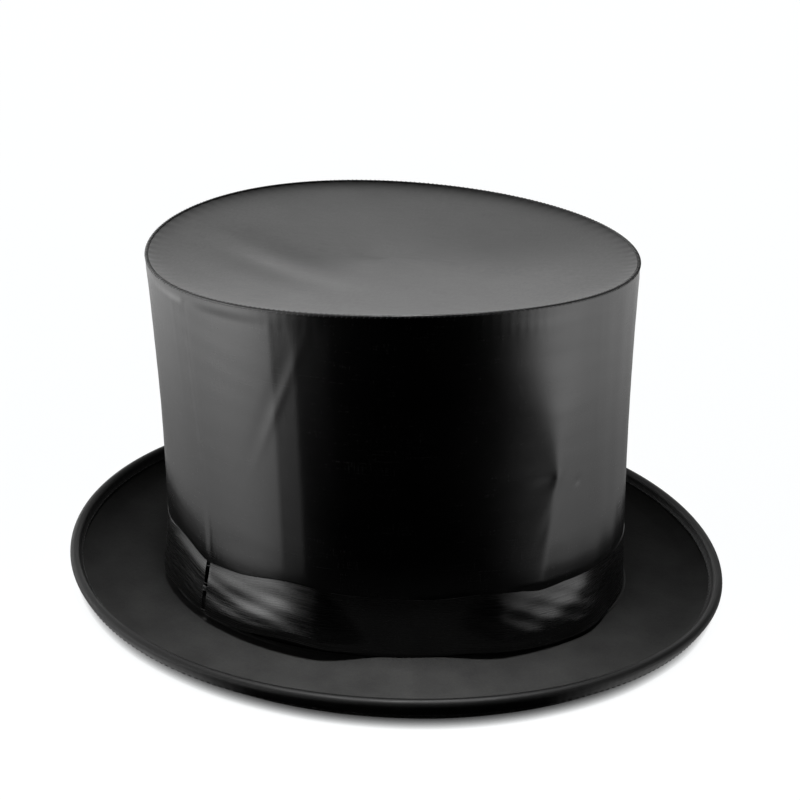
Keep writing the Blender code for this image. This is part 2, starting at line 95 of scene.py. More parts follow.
BASE = outline_of("base_collar", BASE_EGG)
TIP = outline_of("tip_piping", TIP_EGG)
RIM = outline_of("brim_binding", RIM_EGG)
CAD_SIDES = 40
HIGHEST = float(edge_rise(np.linspace(0, 2 * math.pi, CAD_SIDES, endpoint=False)).max())
WALL_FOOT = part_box("base_collar")[0][2]
WALL_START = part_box("crown_side_cover")[0][2]
WALL_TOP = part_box("crown_side_cover")[1][2] - HIGHEST
CROWN_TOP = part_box("tip_piping")[1][2] - HIGHEST
TIP_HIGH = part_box("crown_tip")[1][2] - HIGHEST
RING_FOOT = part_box("top_ring")[0][2]
BAND_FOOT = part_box("hat_band")[0][2]
BAND_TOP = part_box("hat_band")[1][2]
SWEAT_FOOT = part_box("sweatband")[0][2]
SWEAT_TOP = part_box("sweatband")[1][2]

JOINTS = {j["name"]: j for j in frame["record"]["behaviour"]["joints"]}
FOLD = JOINTS["crown_fold"]


def crown_drop():
    """How far the crown's top comes down when the struts are folded to their limit."""
    low = Vector(FOLD["pos_m"])
    elbow = Vector(JOINTS["elbow_1"]["pos_m"])
    arm = elbow - low
    turn = Matrix.Rotation(math.radians(FOLD["range_deg"][1]), 3, Vector(FOLD["axis"]))
    return 2 * (arm.z - (turn @ arm).z)


# Above the split the side's cloth moves with the crown's top ring, and below it the cloth stays on the base.
SPLIT = RING_FOOT - 0.6 * MM
SOFT_KEEP = 1 - crown_drop() / (SPLIT - WALL_START)

# Shape helpers


def oval(t, size, outward=0.0):
    """Points of an oval moved outward along its normal, as an array of x and an array of y."""
    a, b, egg, x, y = size
    c, s = np.cos(t), np.sin(t)
    narrow = 1 + egg * c
    across = b * c * narrow - b * egg * s * s
    along = -a * s
    length = np.hypot(across, along)
    return x + a * c + outward * across / length, y + b * s * narrow - outward * along / length


def wall_size(z):
    """The crown wall's outline at a height."""
    share = (z - WALL_FOOT) / (WALL_TOP - WALL_FOOT)
    drawn = WAIST * 4 * share * (1 - share)
    a, b, *rest = (base + (tip - base) * share for base, tip in zip(BASE, TIP))
    return (a - drawn, b - drawn, *rest)


def around(t, centre):
    """The signed angle from a direction given in degrees, in degrees, between -180 and 180."""
    return (np.degrees(t) - centre + 180) % 360 - 180


def bell(x, width):
    """A smooth hump, 1 high at x = 0."""
    return np.exp(-((x / width) ** 2))


def ramp(x, low, high):
    """A smooth step from 0 at low to 1 at high."""
    s = np.clip((x - low) / (high - low), 0, 1)
    return s * s * (3 - 2 * s)


def ripple(t, z, count, turns, rises, seed):
    """Gentle irregular waves, the same each run, that close round the hat. About 1 high."""
    rng = np.random.default_rng(SEED + seed)
    total = np.zeros(np.broadcast(t, z).shape)
    for _ in range(count):
        n = rng.integers(turns[0], turns[1] + 1)
        m = rng.uniform(-rises, rises)
        total = total + np.sin(n * t + m * z + rng.uniform(0, 2 * math.pi)) * rng.uniform(0.5, 1)
    return total / math.sqrt(count)


def grid_mesh(name, x, y, z, u, v, closed=True, inward=False, both=False):
    """A sheet over rows of points. u and v are its measures along and across, in metres."""
    rows, cols = z.shape
    points = np.stack([x, y, z], axis=-1).reshape(-1, 3)
    faces = []
    corner_uv = []
    spans = cols if closed else cols - 1
    lasts = rows if both else rows - 1
    for r in range(lasts):
        q = (r + 1) % rows
        for c in range(spans):
            k = (c + 1) % cols
            faces.append((r * cols + c, r * cols + k, q * cols + k, q * cols + c))
            step = u[r, 1] - u[r, 0]
            rise = v[q, c] if q else v[r, c] + (v[r, c] - v[r - 1, c])
            corner_uv += [(u[r, c], v[r, c]), (u[r, c] + step, v[r, c])]
            corner_uv += [(u[r, c] + step, rise), (u[r, c], rise)]
    mesh = bpy.data.meshes.new(name)
    mesh.from_pydata(points.tolist(), [], faces)
    layer = mesh.uv_layers.new(name="cloth")
    layer.data.foreach_set("uv", np.array(corner_uv, np.float32).ravel())
    if inward:
        mesh.flip_normals()
    mesh.shade_smooth()
    mesh.update()
    made = bpy.data.objects.new(name, mesh)
    bpy.context.collection.objects.link(made)
    return made


def solid(obj, thickness):
    """Gives a sheet its real thickness, inward from its face, with crisp cut edges."""
    thick = obj.modifiers.new("thickness", "SOLIDIFY")
    thick.thickness = thickness
    thick.offset = -1.0
    thick.use_even_offset = False
    crisp = obj.modifiers.new("crisp", "EDGE_SPLIT")
    crisp.split_angle = math.radians(50)
    return obj


def tube_data(path, radius, sides=6, caps=True):
    """Vertices and faces of a round thread along a path of points."""
    path = [Vector(p) for p in path]
    verts, faces = [], []
    last = None
    for i, point in enumerate(path):
        tangent = (path[min(i + 1, len(path) - 1)] - path[max(i - 1, 0)]).normalized()
        if last is None:
            last = tangent.orthogonal().normalized()
        side = (last - tangent * last.dot(tangent)).normalized()
        other = tangent.cross(side)
        last = side
        for k in range(sides):
            a = 2 * math.pi * k / sides
            verts.append(point + (side * math.cos(a) + other * math.sin(a)) * radius)
    for i in range(len(path) - 1):
        for k in range(sides):
            n = (k + 1) % sides
            faces.append((i * sides + k, i * sides + n, (i + 1) * sides + n, (i + 1) * sides + k))
    if caps:
        faces.append(tuple(reversed(range(sides))))
        end = (len(path) - 1) * sides
        faces.append(tuple(range(end, end + sides)))
    return verts, faces


def joined(name, parts):
    """One object from several lists of vertices and faces."""
    verts, faces = [], []
    for some_verts, some_faces in parts:
        start = len(verts)
        verts += some_verts
        faces += [tuple(i + start for i in face) for face in some_faces]
    mesh = bpy.data.meshes.new(name)
    mesh.from_pydata([tuple(p) for p in verts], [], faces)
    mesh.shade_smooth()
    mesh.update()
    made = bpy.data.objects.new(name, mesh)
    bpy.context.collection.objects.link(made)
    return made


# Materials


class Look:
    """A material's nodes, made and linked in short calls."""

    def __init__(self, name):
        self.material = bpy.data.materials.new(name)
        self.material.use_nodes = True
        self.tree = self.material.node_tree
        self.shader = self.tree.nodes["Principled BSDF"]
        self.height = None

    def node(self, kind, **settings):
        made = self.tree.nodes.new("ShaderNode" + kind)
        for key, value in settings.items():
            setattr(made, key, value)
        return made

    def link(self, source, target):
        self.tree.links.new(source, target)

    def set(self, **values):
        for key, value in values.items():
            self.shader.inputs[key.replace("_", " ")].default_value = value

    def place(self, scale=(1, 1, 1), turn=0.0, cloth=True):
        """Coordinates: the cloth's own measures in metres, or the hat's frame."""
        source = self.node("UVMap", uv_map="cloth") if cloth else self.node("TexCoord")
        mapping = self.node("Mapping")
        mapping.inputs["Scale"].default_value = scale
        mapping.inputs["Rotation"].default_value = (0, 0, turn)
        self.link(source.outputs["UV" if cloth else "Object"], mapping.inputs["Vector"])
        return mapping.outputs["Vector"]

    def noise(self, vector, scale, detail=3.0, rough=0.55, distort=0.0):
        made = self.node("TexNoise")
        made.inputs["Scale"].default_value = scale
        made.inputs["Detail"].default_value = detail
        made.inputs["Roughness"].default_value = rough
        made.inputs["Distortion"].default_value = distort
        self.link(vector, made.inputs["Vector"])
        return made.outputs["Fac"]

    def wave(self, vector, scale, direction="X", distort=0.0):
        made = self.node("TexWave", bands_direction=direction)
        made.inputs["Scale"].default_value = scale
        made.inputs["Distortion"].default_value = distort
        self.link(vector, made.inputs["Vector"])
        return made.outputs["Fac"]

    def math(self, operation, a, b):
        made = self.node("Math", operation=operation)
        for socket, value in zip(made.inputs, (a, b)):
            if isinstance(value, (int, float)):
                socket.default_value = value
            else:
                self.link(value, socket)
        return made.outputs["Value"]

    def between(self, factor, low, high, start=0.0, end=1.0):
        """A value from low to high as the factor goes from start to end."""
        made = self.node("MapRange")
        self.link(factor, made.inputs["Value"])
        for key, value in (("From Min", start), ("From Max", end), ("To Min", low), ("To Max", high)):
            made.inputs[key].default_value = value
        return made.outputs["Result"]

    def colours(self, factor, stops):
        """A colour read off a ramp of (place, colour) stops."""
        made = self.node("ValToRGB")
        band = made.color_ramp
        while len(band.elements) < len(stops):
            band.elements.new(0.5)
        for element, (place, colour) in zip(band.elements, stops):
            element.position = place
            element.color = (*colour, 1)
        self.link(factor, made.inputs["Fac"])
        self.link(made.outputs["Color"], self.shader.inputs["Base Color"])

    def rough(self, factor):
        self.link(factor, self.shader.inputs["Roughness"])

    def bump(self, height, depth, strength=1.0):
        """Adds relief of a given depth, on top of any that is there."""
        made = self.node("Bump")
        made.inputs["Strength"].default_value = strength
        made.inputs["Distance"].default_value = depth
        self.link(height, made.inputs["Height"])
        if self.height is not None:
            self.link(self.height, made.inputs["Normal"])
        self.height = made.outputs["Normal"]
        self.link(self.height, self.shader.inputs["Normal"])


THREAD_PITCH = 0.30 * MM
TAU = 2 * math.pi


def bands(pitch):
    """The wave texture's scale for a repeat of that many metres."""
    return TAU / (20 * pitch)


def satin_look(name, dark, light, rough):
    """Woven satin: long lengthwise floats, faint cross threads and slightly uneven gloss."""
    look = Look(name)
    plain = look.place()
    streaks = look.noise(look.place(scale=(1, 0.06, 1)), 2600, detail=2)
    slubs = look.noise(look.place(scale=(0.05, 1, 1)), 1500, detail=2)
    cloudy = look.noise(plain, 34, detail=4)
    warp = look.wave(plain, bands(THREAD_PITCH), "X")
    weft = look.wave(plain, bands(THREAD_PITCH * 1.3), "Y")
    look.colours(cloudy, [(0.30, dark), (0.72, light)])
    uneven = look.math("MULTIPLY", look.math("ADD", streaks, slubs), 0.5)
    gloss = look.math("ADD", look.math("MULTIPLY", uneven, 0.7), look.math("MULTIPLY", cloudy, 0.3))
    look.rough(look.between(gloss, rough - 0.05, rough + 0.06, 0.3, 0.7))
    look.bump(look.math("ADD", warp, look.math("MULTIPLY", weft, 0.35)), 0.012 * MM, 0.5)
    look.bump(streaks, 0.020 * MM, 0.5)
    look.bump(slubs, 0.009 * MM, 0.5)
    look.set(IOR=1.5)
    return look.material


def felt_look(name, dark, light, sheen):
    """Matt wool felt: matted fibres in fine relief, over a soft mottle."""
    look = Look(name)
    place = look.place(cloth=False)
    fibres = look.noise(place, 1500, detail=4, rough=0.7, distort=1.2)
    tufts = look.noise(place, 420, detail=3, rough=0.6)
    mottle = look.noise(place, 60, detail=4)
    mixed = look.math("ADD", look.math("MULTIPLY", fibres, 0.55), look.math("MULTIPLY", mottle, 0.45))
    look.colours(mixed, [(0.34, dark), (0.66, light)])
    look.rough(look.between(fibres, 0.86, 1.0, 0.3, 0.7))
    look.bump(tufts, 0.16 * MM, 0.7)
    look.bump(fibres, 0.09 * MM, 0.8)
    look.set(Sheen_Weight=sheen, Sheen_Roughness=0.55)
    look.set(Specular_IOR_Level=0.25)
    return look.material


def ribbon_look(name, rough=0.24, rib=0.45 * MM, level=0.6, light=0.0022):
    """Satin ribbon: fine lengthwise gloss with faint cross ribs."""
    look = Look(name)
    plain = look.place()
    along = look.noise(look.place(scale=(0.03, 1, 1)), 2200, detail=2)
    cloudy = look.noise(plain, 60, detail=3)
    ribs = look.wave(plain, bands(rib), "X", distort=0.3)
    look.colours(cloudy, [(0.3, (light * 0.4,) * 3), (0.7, (light,) * 3)])
    look.rough(look.between(along, rough - 0.05, rough + 0.08, 0.3, 0.7))
    look.bump(ribs, 0.012 * MM, 0.5)
    look.bump(along, 0.030 * MM, 0.6)
    look.set(IOR=1.5)
    look.set(Specular_IOR_Level=level)
    return look.material


def cotton_look(name, dark, light):
    """Plain-woven cotton lining."""
    look = Look(name)
    plain = look.place()
    warp = look.wave(plain, bands(0.42 * MM), "X", distort=0.4)
    weft = look.wave(plain, bands(0.42 * MM), "Y", distort=0.4)
    cloudy = look.noise(plain, 45, detail=4)
    look.colours(cloudy, [(0.3, dark), (0.7, light)])
    look.rough(look.between(cloudy, 0.72, 0.86, 0.3, 0.7))
    look.bump(look.math("MULTIPLY", warp, weft), 0.06 * MM, 0.7)
    look.set(Sheen_Weight=0.15, Sheen_Roughness=0.5)
    return look.material


def buckram_look(name):
    """Stiff open-woven cloth, darkened, with glaze in its gaps."""
    look = Look(name)
    place = look.place(cloth=False)
    weave = look.node("TexVoronoi")
    weave.inputs["Scale"].default_value = 900
    look.link(place, weave.inputs["Vector"])
    cells = weave.outputs["Distance"]
    mottle = look.noise(place, 90, detail=3)
    look.colours(mottle, [(0.3, (0.030, 0.027, 0.023)), (0.7, (0.058, 0.052, 0.044))])
    look.rough(look.between(cells, 0.62, 0.92, 0.0, 0.7))
    look.bump(cells, 0.12 * MM, 0.7)
    return look.material


def leather_look(name, dark, light):
    """Thin sweatband leather: fine pebble grain, softly polished where a head rubs."""
    look = Look(name)
    place = look.place(cloth=False)
    pebbles = look.node("TexVoronoi")
    pebbles.inputs["Scale"].default_value = 1300
    look.link(place, pebbles.inputs["Vector"])
    grain = pebbles.outputs["Distance"]
    fine = look.noise(place, 2200, detail=4)
    worn = look.noise(place, 40, detail=4)
    look.colours(worn, [(0.28, dark), (0.72, light)])
    look.rough(look.between(worn, 0.58, 0.40, 0.3, 0.7))
    look.bump(grain, 0.07 * MM, 0.7)
    look.bump(fine, 0.03 * MM, 0.5)
    return look.material


def thread_look(name, colour):
    """Sewing thread: a fine twist with a little sheen."""
    look = Look(name)
    place = look.place(cloth=False)
    twist = look.wave(place, bands(0.35 * MM), "DIAGONAL", distort=1.0)
    tint = look.noise(place, 300, detail=2)
    look.colours(tint, [(0.3, colour), (0.7, tuple(c * 1.6 for c in colour))])
    look.rough(look.between(twist, 0.40, 0.62))
    look.bump(twist, 0.03 * MM, 0.6)
    look.set(Sheen_Weight=0.2)
    return look.material


def steel_look(name, dark, light, rough):
    """Rolled spring steel: drawn lines, a mottled heat colour and wear to bright metal."""
    look = Look(name)
    place = look.place(cloth=False)
    lines = look.noise(look.place(scale=(1, 1, 0.06), cloth=False), 5200, detail=2)
    heat = look.noise(place, 130, detail=5, rough=0.65)
    look.colours(heat, [(0.30, dark), (0.62, light), (0.80, tuple(c * 1.5 for c in light))])
    look.rough(look.between(lines, rough - 0.08, rough + 0.12, 0.3, 0.7))
    look.bump(lines, 0.012 * MM, 0.4)
    look.bump(heat, 0.02 * MM, 0.3)
    look.set(Metallic=1.0)
    return look.material


SATIN_DARK, SATIN_LIGHT = (0.0008, 0.0008, 0.0009), (0.0022, 0.0022, 0.0023)
looks = {
    "satin": satin_look("satin", SATIN_DARK, SATIN_LIGHT, 0.24),
    # The tip's satin is the side's black satin made several times lighter in colour: painted light for the
    # top, which faces the lamp
    "tip_satin_painted_light": satin_look("tip_satin_painted_light", (0.0080, 0.0080, 0.0080), (0.0170, 0.0170, 0.0165), 0.42),
    "felt": felt_look("felt", (0.0170, 0.0170, 0.0170), (0.0420, 0.0420, 0.0410), 0.04),
    "ribbon": ribbon_look("ribbon", level=0.6, light=0.0014),
    "binding": ribbon_look("binding", rough=0.55, rib=0.7 * MM, level=0.32, light=0.0035),
    "edge_satin": ribbon_look("edge_satin", rough=0.36, rib=0.9 * MM, level=0.5),
    "cotton": cotton_look("cotton", (0.0080, 0.0078, 0.0080), (0.0200, 0.0190, 0.0190)),
    "buckram": buckram_look("buckram"),
    "leather": leather_look("leather", (0.030, 0.015, 0.008), (0.075, 0.040, 0.022)),
    "thread": thread_look("thread", (0.0060, 0.0060, 0.0062)),
    "brown_thread": thread_look("brown_thread", (0.10, 0.055, 0.030)),
    "blued_steel": steel_look("blued_steel", (0.045, 0.050, 0.065), (0.12, 0.13, 0.16), 0.36),
    "spring_steel": steel_look("spring_steel", (0.30, 0.29, 0.28), (0.46, 0.46, 0.46), 0.28),
}


def dress(obj, look, body, slot, *nodes):
    """Gives a piece its material and its body, and hides the CAD nodes that it stands for. The slot is not
    used.
    """
    obj.data.materials.clear()
    obj.data.materials.append(looks[look])
    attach(obj, body)
    if nodes:
        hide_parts(*nodes)
    return obj


# The satin side

SIDE_STEPS = 640
LINING_STEPS = 360
REACH = (BASE[0] + BASE[1]) / 2
SIDE_OUT = 0.25 * MM
FOOT_OUT = 0.13 * MM
LINING_INSET = 1.45 * MM
ELBOW_HEIGHT = Vector(JOINTS["elbow_1"]["pos_m"]).z
SEAM = -123.5

# Where the struts press on the side, in degrees round the hat, and how strongly
STRUT_MARKS = ((-34.5, 1.0), (35, 0.6), (144, 0.5), (-146, 0.2))


# A strut's crease: its height in millimetres, over how many degrees it falls off in front and behind, how
# strongly the satin in front of it is pulled straight, and half the degrees over which it is
CREASE_HIGH = 2.2
CREASE_FALL = (11.0, 8.5)
CREASE_PULL = 0.0050
SPAN = 17.0

# How the crease changes with height, as (height, value) points: its lean and softness in degrees, and its
# strength
CREASE_LEAN = ((29 * MM, -4.5), (ELBOW_HEIGHT, 0), (105 * MM, -0.8), (122 * MM, -2.6), (145 * MM, -7))
CREASE_SOFT = ((29 * MM, 1.1), (ELBOW_HEIGHT, 0.35), (98 * MM, 1.5), (125 * MM, 8.0))
CREASE_STRENGTH = ((29 * MM, 0.85), (60 * MM, 1.0), (ELBOW_HEIGHT, 1.1), (112 * MM, 0.95), (138 * MM, 0.30))


def at_height(z, points):
    """A value read off a line through (height, value) points."""
    return np.interp(z, [height for height, _ in points], [value for _, value in points])


def strut_relief(t, z, angle, share):
    """The long ridge, kink and dimple that one strut makes in the satin."""
    hand = 1 if angle < 0 else -1
    height = (z - ELBOW_HEIGHT) / MM
    d = (around(t, angle) - at_height(z, CREASE_LEAN)) * hand
    soft = at_height(z, CREASE_SOFT)
    strength = at_height(z, CREASE_STRENGTH)
    off = np.hypot(d, soft)
    out = CREASE_HIGH * strength * np.exp(-(off - soft) / np.where(d < 0, *CREASE_FALL))
    taut = np.maximum(SPAN**2 - ((d - off) / 2 + SPAN) ** 2, 0)
    out -= CREASE_PULL * strength * taut
    out += 0.45 * np.exp(-2.0 * np.hypot(d / 2.0, (height + 3) / 4.0))
    out -= 0.30 * bell(d + 0.7, np.where(d < -0.7, 4.5, 0.9)) * bell(height + 4.5, 2.8)
    out -= 0.42 * bell(d - 7.8, 0.9) * bell(height + 8, 1.8)
    out -= 0.16 * bell(d - 3 - height * 0.16, 1.5) * bell(height + 15, 13)
    return share * out


# Where the taut satin spans flat between its creases: start and end in degrees, and how flat it is
FLATS = ((-123.0, -100.4, 0.22), (-100.4, -94.8, 0.95), (-94.8, -87.0, 0.45))


def side_relief(t, z):
    """How far the satin stands out from the plain wall: seam, creases, and the marks of the struts."""
    rise = (z - WALL_START) / (WALL_TOP - WALL_START)
    out = 0.17 * ripple(t, z, 7, (2, 6), 18, 1) + 0.035 * ripple(t, z, 9, (9, 24), 60, 2)
    for angle, share in STRUT_MARKS:
        out = out + strut_relief(t, z, angle, share)
    seam = around(t, SEAM) + 3.0 * ramp(rise, 0.1, 1.0)
    out += 0.30 * ramp(-seam, -0.4, 0.4) * ramp(seam, -18, -1)
    out -= 0.22 * bell(seam - 0.7, 0.6)
    out += 0.10 * bell(seam + 4.2 - 0.3 * ripple(t, z, 3, (1, 2), 30, 5), 0.7) * ramp(rise, 0.35, 0.95)
    line = -93.5 - 12.0 * (141 * MM - z) / (51 * MM)
    pull = bell((z - 114 * MM) / MM, 26)
    out += 0.14 * bell(around(t, 0) - line, 1.1) * pull
    out -= 0.12 * bell(around(t, 0) - line + 2.4, 1.8) * pull
    for start, end, flatness in FLATS:
        half = math.radians((end - start) / 2)
        d = np.radians(around(t, (start + end) / 2))
        out -= flatness * BASE[0] / MM / 2 * np.maximum(half * half - d * d, 0) * ramp(rise, 0.0, 0.15)
    out += 0.05 * np.sin(150 * t + 2 * np.sin(7 * t)) * np.exp(-(WALL_TOP - z) / (2.6 * MM))
    right = bell(around(t, -14), 14)
    out += 0.10 * right * np.sin(34 * t + 1.4 * np.sin(5 * t) + 9 * z)
    out += 0.30 * right * bell(around(t, -19) + 2.5 * rise, 1.7) * ramp(rise, 0.25, 0.8)
    crumple = np.sin(z / MM * 0.52 + 1.6 * np.sin(3 * t) + 1.1 * np.sin(7 * t + z / MM * 0.11))
    out += 0.015 * crumple
    edges = ramp(rise, 0.0, 0.05) * ramp(-rise, -1.0, -0.97)
    return out * MM * (0.15 + 0.85 * edges)


def wall_sheet(name, x, y, z, t, rise, **options):
    """A sheet round the crown, where rise is its measure up the cloth."""
    u, v = np.broadcast_to(t * REACH, x.shape), np.broadcast_to(rise, x.shape)
    return grid_mesh(name, x, y, np.broadcast_to(z, x.shape), u, v, **options)


def make_side():
    """The satin side: its wall, on the base, and the course along its top, which moves with the tip."""
    t = np.linspace(-math.pi, math.pi, SIDE_STEPS, endpoint=False)[None, :]
    courses = (
        ("satin_side", "base", WALL_START - 1.5 * MM, SPLIT, 130),
        ("satin_top_course", "crown_top", SPLIT, EDGE_CENTRE, 18),
    )
    for name, body, low, high, rows in courses:
        z = np.linspace(low, high, rows)[:, None]
        x, y = oval(t, wall_size(z), side_relief(t, z) + SIDE_OUT)
        shown = z + edge_rise(t) * np.clip((z - SPLIT) / (EDGE_CENTRE - SPLIT), 0, 1)
        side = wall_sheet(name, x, y, shown, t, z)
        if body == "base":
            dress(side, "satin", body, "satin", "crown_side_cover")
            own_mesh(side)
        else:
            dress(side, "satin", body, "satin")


def make_side_foot():
    """The satin's foot: it runs on down over the stiff collar, behind the ribbon."""
    t = np.linspace(-math.pi, math.pi, LINING_STEPS, endpoint=False)[None, :]
    low, high = WALL_FOOT + 1.2 * MM, WALL_START + 0.6 * MM
    z = np.linspace(low, high, 10)[:, None]
    x, y = oval(t, wall_size(z), FOOT_OUT + 0.03 * MM * ripple(t, z, 6, (4, 14), 40, 25))
    foot = wall_sheet("satin_foot", x, y, z, t, z)
    dress(foot, "satin", "base", "satin")


def make_side_lining():
    """The cotton lining, with soft upright folds, in the same two courses as the satin."""
    t = np.linspace(-math.pi, math.pi, LINING_STEPS, endpoint=False)[None, :]
    courses = (
        ("side_lining", "base", WALL_START, SPLIT, 60),
        ("lining_top_course", "crown_top", SPLIT, WALL_TOP - 0.6 * MM, 8),
    )
    for name, body, low, high, rows in courses:
        z = np.linspace(low, high, rows)[:, None]
        folds = 0.16 * np.sin(56 * t + 1.8 * np.sin(9 * t) + 12 * z)
        folds = folds + 0.12 * ripple(t, z, 6, (3, 11), 40, 8)
        x, y = oval(t, wall_size(z), folds * MM - LINING_INSET)
        shown = z + edge_rise(t) * np.clip((z - SPLIT) / (WALL_TOP - SPLIT), 0, 1)
        lining = wall_sheet(name, x, y, shown, t, z, inward=True)
        if body == "base":
            dress(lining, "cotton", body, "lining", "crown_side_lining")
            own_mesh(lining)
        else:
            dress(lining, "cotton", body, "lining")


# The crown tip

TIP_SAG = 4.0 * MM
TIP_STEPS = 480
TIP_INSET = 0.5 * MM
TIP_LINING_INSET = 3.75 * MM
TIP_LINING_DOWN = 1.8 * MM
TIP_CREASE = (Vector((-74, -16)) * MM, Vector((-9, -54)) * MM)
DIP = Vector((42, 14)) * MM
DIP_WIDTH = 36 * MM
DIP_DEPTH = 1.5 * MM


def tip_height(x, y, share, t):
    """The slack satin's height: a shallow dish, a soft slanting crease and gathers at its sewn edge."""
    z = TIP_HIGH - TIP_SAG * (1 - share * share) + edge_rise(t) * share
    start, end = TIP_CREASE
    run = end - start
    along = ((x - start.x) * run.x + (y - start.y) * run.y) / run.length_squared
    off = ((x - start.x) * -run.y + (y - start.y) * run.x) / run.length
    z = z + 0.9 * MM * bell(off, 8 * MM) * bell(along - 0.5, 0.42)
    z = z - 0.8 * MM * bell(off - 14 * MM, 10 * MM) * bell(along - 0.5, 0.5)
    z = z + 0.40 * MM * ripple(t, share * 3, 6, (1, 4), 2.5, 12) * np.sin(math.pi * share) * share
    z = z - DIP_DEPTH * np.exp(-((x - DIP.x) ** 2 + (y - DIP.y) ** 2) / DIP_WIDTH**2) * (1 - share**6)
    z = z + 0.08 * MM * np.sin(96 * t + 3 * np.sin(5 * t)) * np.exp(-(1 - share) / 0.030)
    return z + (EDGE_CENTRE + 0.2 * MM - TIP_HIGH) * np.exp(-(1 - share) / 0.035)


def disc_mesh(name, inset, steps, rings, height, up):
    """A round cloth inside the tip's outline with a height at each point. Its face looks up or down."""
    t = np.linspace(-math.pi, math.pi, steps, endpoint=False)[None, :]
    share = np.sqrt(np.linspace(0.0004, 1, rings))[:, None]
    size = wall_size(WALL_TOP)
    x, y = oval(t, size, -inset)
    x = size[3] + (x - size[3]) * share
    y = size[4] + (y - size[4]) * share
    made = grid_mesh(name, x, y, height(x, y, share, t), x, y)
    centre = Vector((size[3], size[4]))
    bm = bmesh.new()
    bm.from_mesh(made.data)
    hole = [e for e in bm.edges if e.is_boundary and (e.verts[0].co.xy - centre).length < 0.02]
    bmesh.ops.holes_fill(bm, edges=hole, sides=0)
    bmesh.ops.recalc_face_normals(bm, faces=bm.faces)
    if (bm.faces[0].normal.z > 0) != up:
        bmesh.ops.reverse_faces(bm, faces=bm.faces)
    bm.to_mesh(made.data)
    bm.free()
    return made


def make_tip():
    tip = disc_mesh("satin_tip", TIP_INSET, TIP_STEPS, 70, tip_height, True)
    # The tip wears the lighter satin copy, with the top's light painted into its colour
    dress(tip, "tip_satin_painted_light", "crown_top", "satin", "crown_tip")


def make_tip_lining():
    def height(x, y, share, t):
        waves = 0.12 * MM * ripple(t, share * 3, 5, (2, 6), 3, 15)
        return TIP_HIGH - TIP_LINING_DOWN - TIP_SAG * (1 - share * share) + (edge_rise(t) + waves) * share

    lining = disc_mesh("tip_lining_cloth", TIP_LINING_INSET, 200, 30, height, False)
    dress(lining, "cotton", "crown_top", "lining", "tip_lining")


def ring_piece(name, section, steps, closed_section=True):
    """A piece round the hat, from its section's points at each angle as arrays of x, y and z."""
    t = np.linspace(-math.pi, math.pi, steps, endpoint=False)
    xs, ys, zs, us, vs = [], [], [], [], []
    run = 0.0
    last = None
    for x, y, z in section(t):
        z = np.broadcast_to(z, x.shape)
        if last is not None:
            run += float(np.hypot(np.hypot(x - last[0], y - last[1]), z - last[2]).mean())
        last = (x, y, z)
        xs.append(x)
        ys.append(y)
        zs.append(z)
        us.append(t * float(np.hypot(x, y).mean()))
        vs.append(np.full(steps, run))
    arrays = [np.array(a) for a in (xs, ys, zs, us, vs)]
    made = grid_mesh(name, *arrays, both=closed_section)
    bm = bmesh.new()
    bm.from_mesh(made.data)
    bmesh.ops.recalc_face_normals(bm, faces=bm.faces)
    if closed_section and bm.calc_volume(signed=True) < 0:
        bmesh.ops.reverse_faces(bm, faces=bm.faces)
    bm.to_mesh(made.data)
    bm.free()
    return made


EDGE_RADIUS = 0.62 * MM
EDGE_CENTRE = CROWN_TOP - EDGE_RADIUS + 0.30 * MM
EDGE_OUT = 0.45 * MM
EDGE_SIDES = 14
STITCH_PITCH = 2.0 * MM


def make_tip_edge():
    """The rolled edge where the tip is sewn to the side, and its overcast stitches."""
    size = wall_size(WALL_TOP)

    def section(t):
        for i in range(EDGE_SIDES):
            a = TAU * i / EDGE_SIDES
            puff = 1 + 0.05 * np.sin(305 * t + math.cos(a))
            out = EDGE_RADIUS * np.cos(a) * puff - EDGE_RADIUS + EDGE_OUT
            lift = 0.05 * MM * ripple(t, 0, 5, (2, 9), 1, 21)
            yield *oval(t, size, out), EDGE_CENTRE + EDGE_RADIUS * np.sin(a) * puff + lift + edge_rise(t)

    edge = ring_piece("tip_edge", section, 1100)
    dress(edge, "edge_satin", "crown_top", "ribbon", "tip_piping")
    girth = TAU * (size[0] + size[1]) / 2
    count = int(girth / STITCH_PITCH)
    rng = np.random.default_rng(SEED + 31)
    parts = []
    for i in range(count):
        t0 = TAU * i / count + rng.normal(0, 0.0016)
        slant = 1.3 * MM / size[0]
        path = []
        for k in range(8):
            a = math.radians(-48 + 250 * k / 7)
            radius = EDGE_RADIUS + 0.10 * MM
            here = t0 + slant * k / 7
            x, y = oval(here, size, radius * math.cos(a) - EDGE_RADIUS + EDGE_OUT)
            path.append((float(x), float(y), EDGE_CENTRE + radius * math.sin(a) + float(edge_rise(here))))
        parts.append(tube_data(path, 0.11 * MM, 5))
    stitches = joined("tip_overcast", parts)
    dress(stitches, "thread", "crown_top", "thread")


# The ribbon band

JOINT = SEAM
JOINT_HALF_GAP = math.radians(0.70)
RIBBON_THICK = 0.28 * MM
KNOT_PLACE = 0.52


def window(t, start, end, soft_start, soft_end):
    """1 between two directions given in degrees, falling to 0 over a soft edge outside each."""
    middle = (start + end) / 2
    d = around(t, middle)
    half = (end - start) / 2
    return ramp(d, -half - soft_start, -half) * ramp(-d, -half - soft_end, -half)


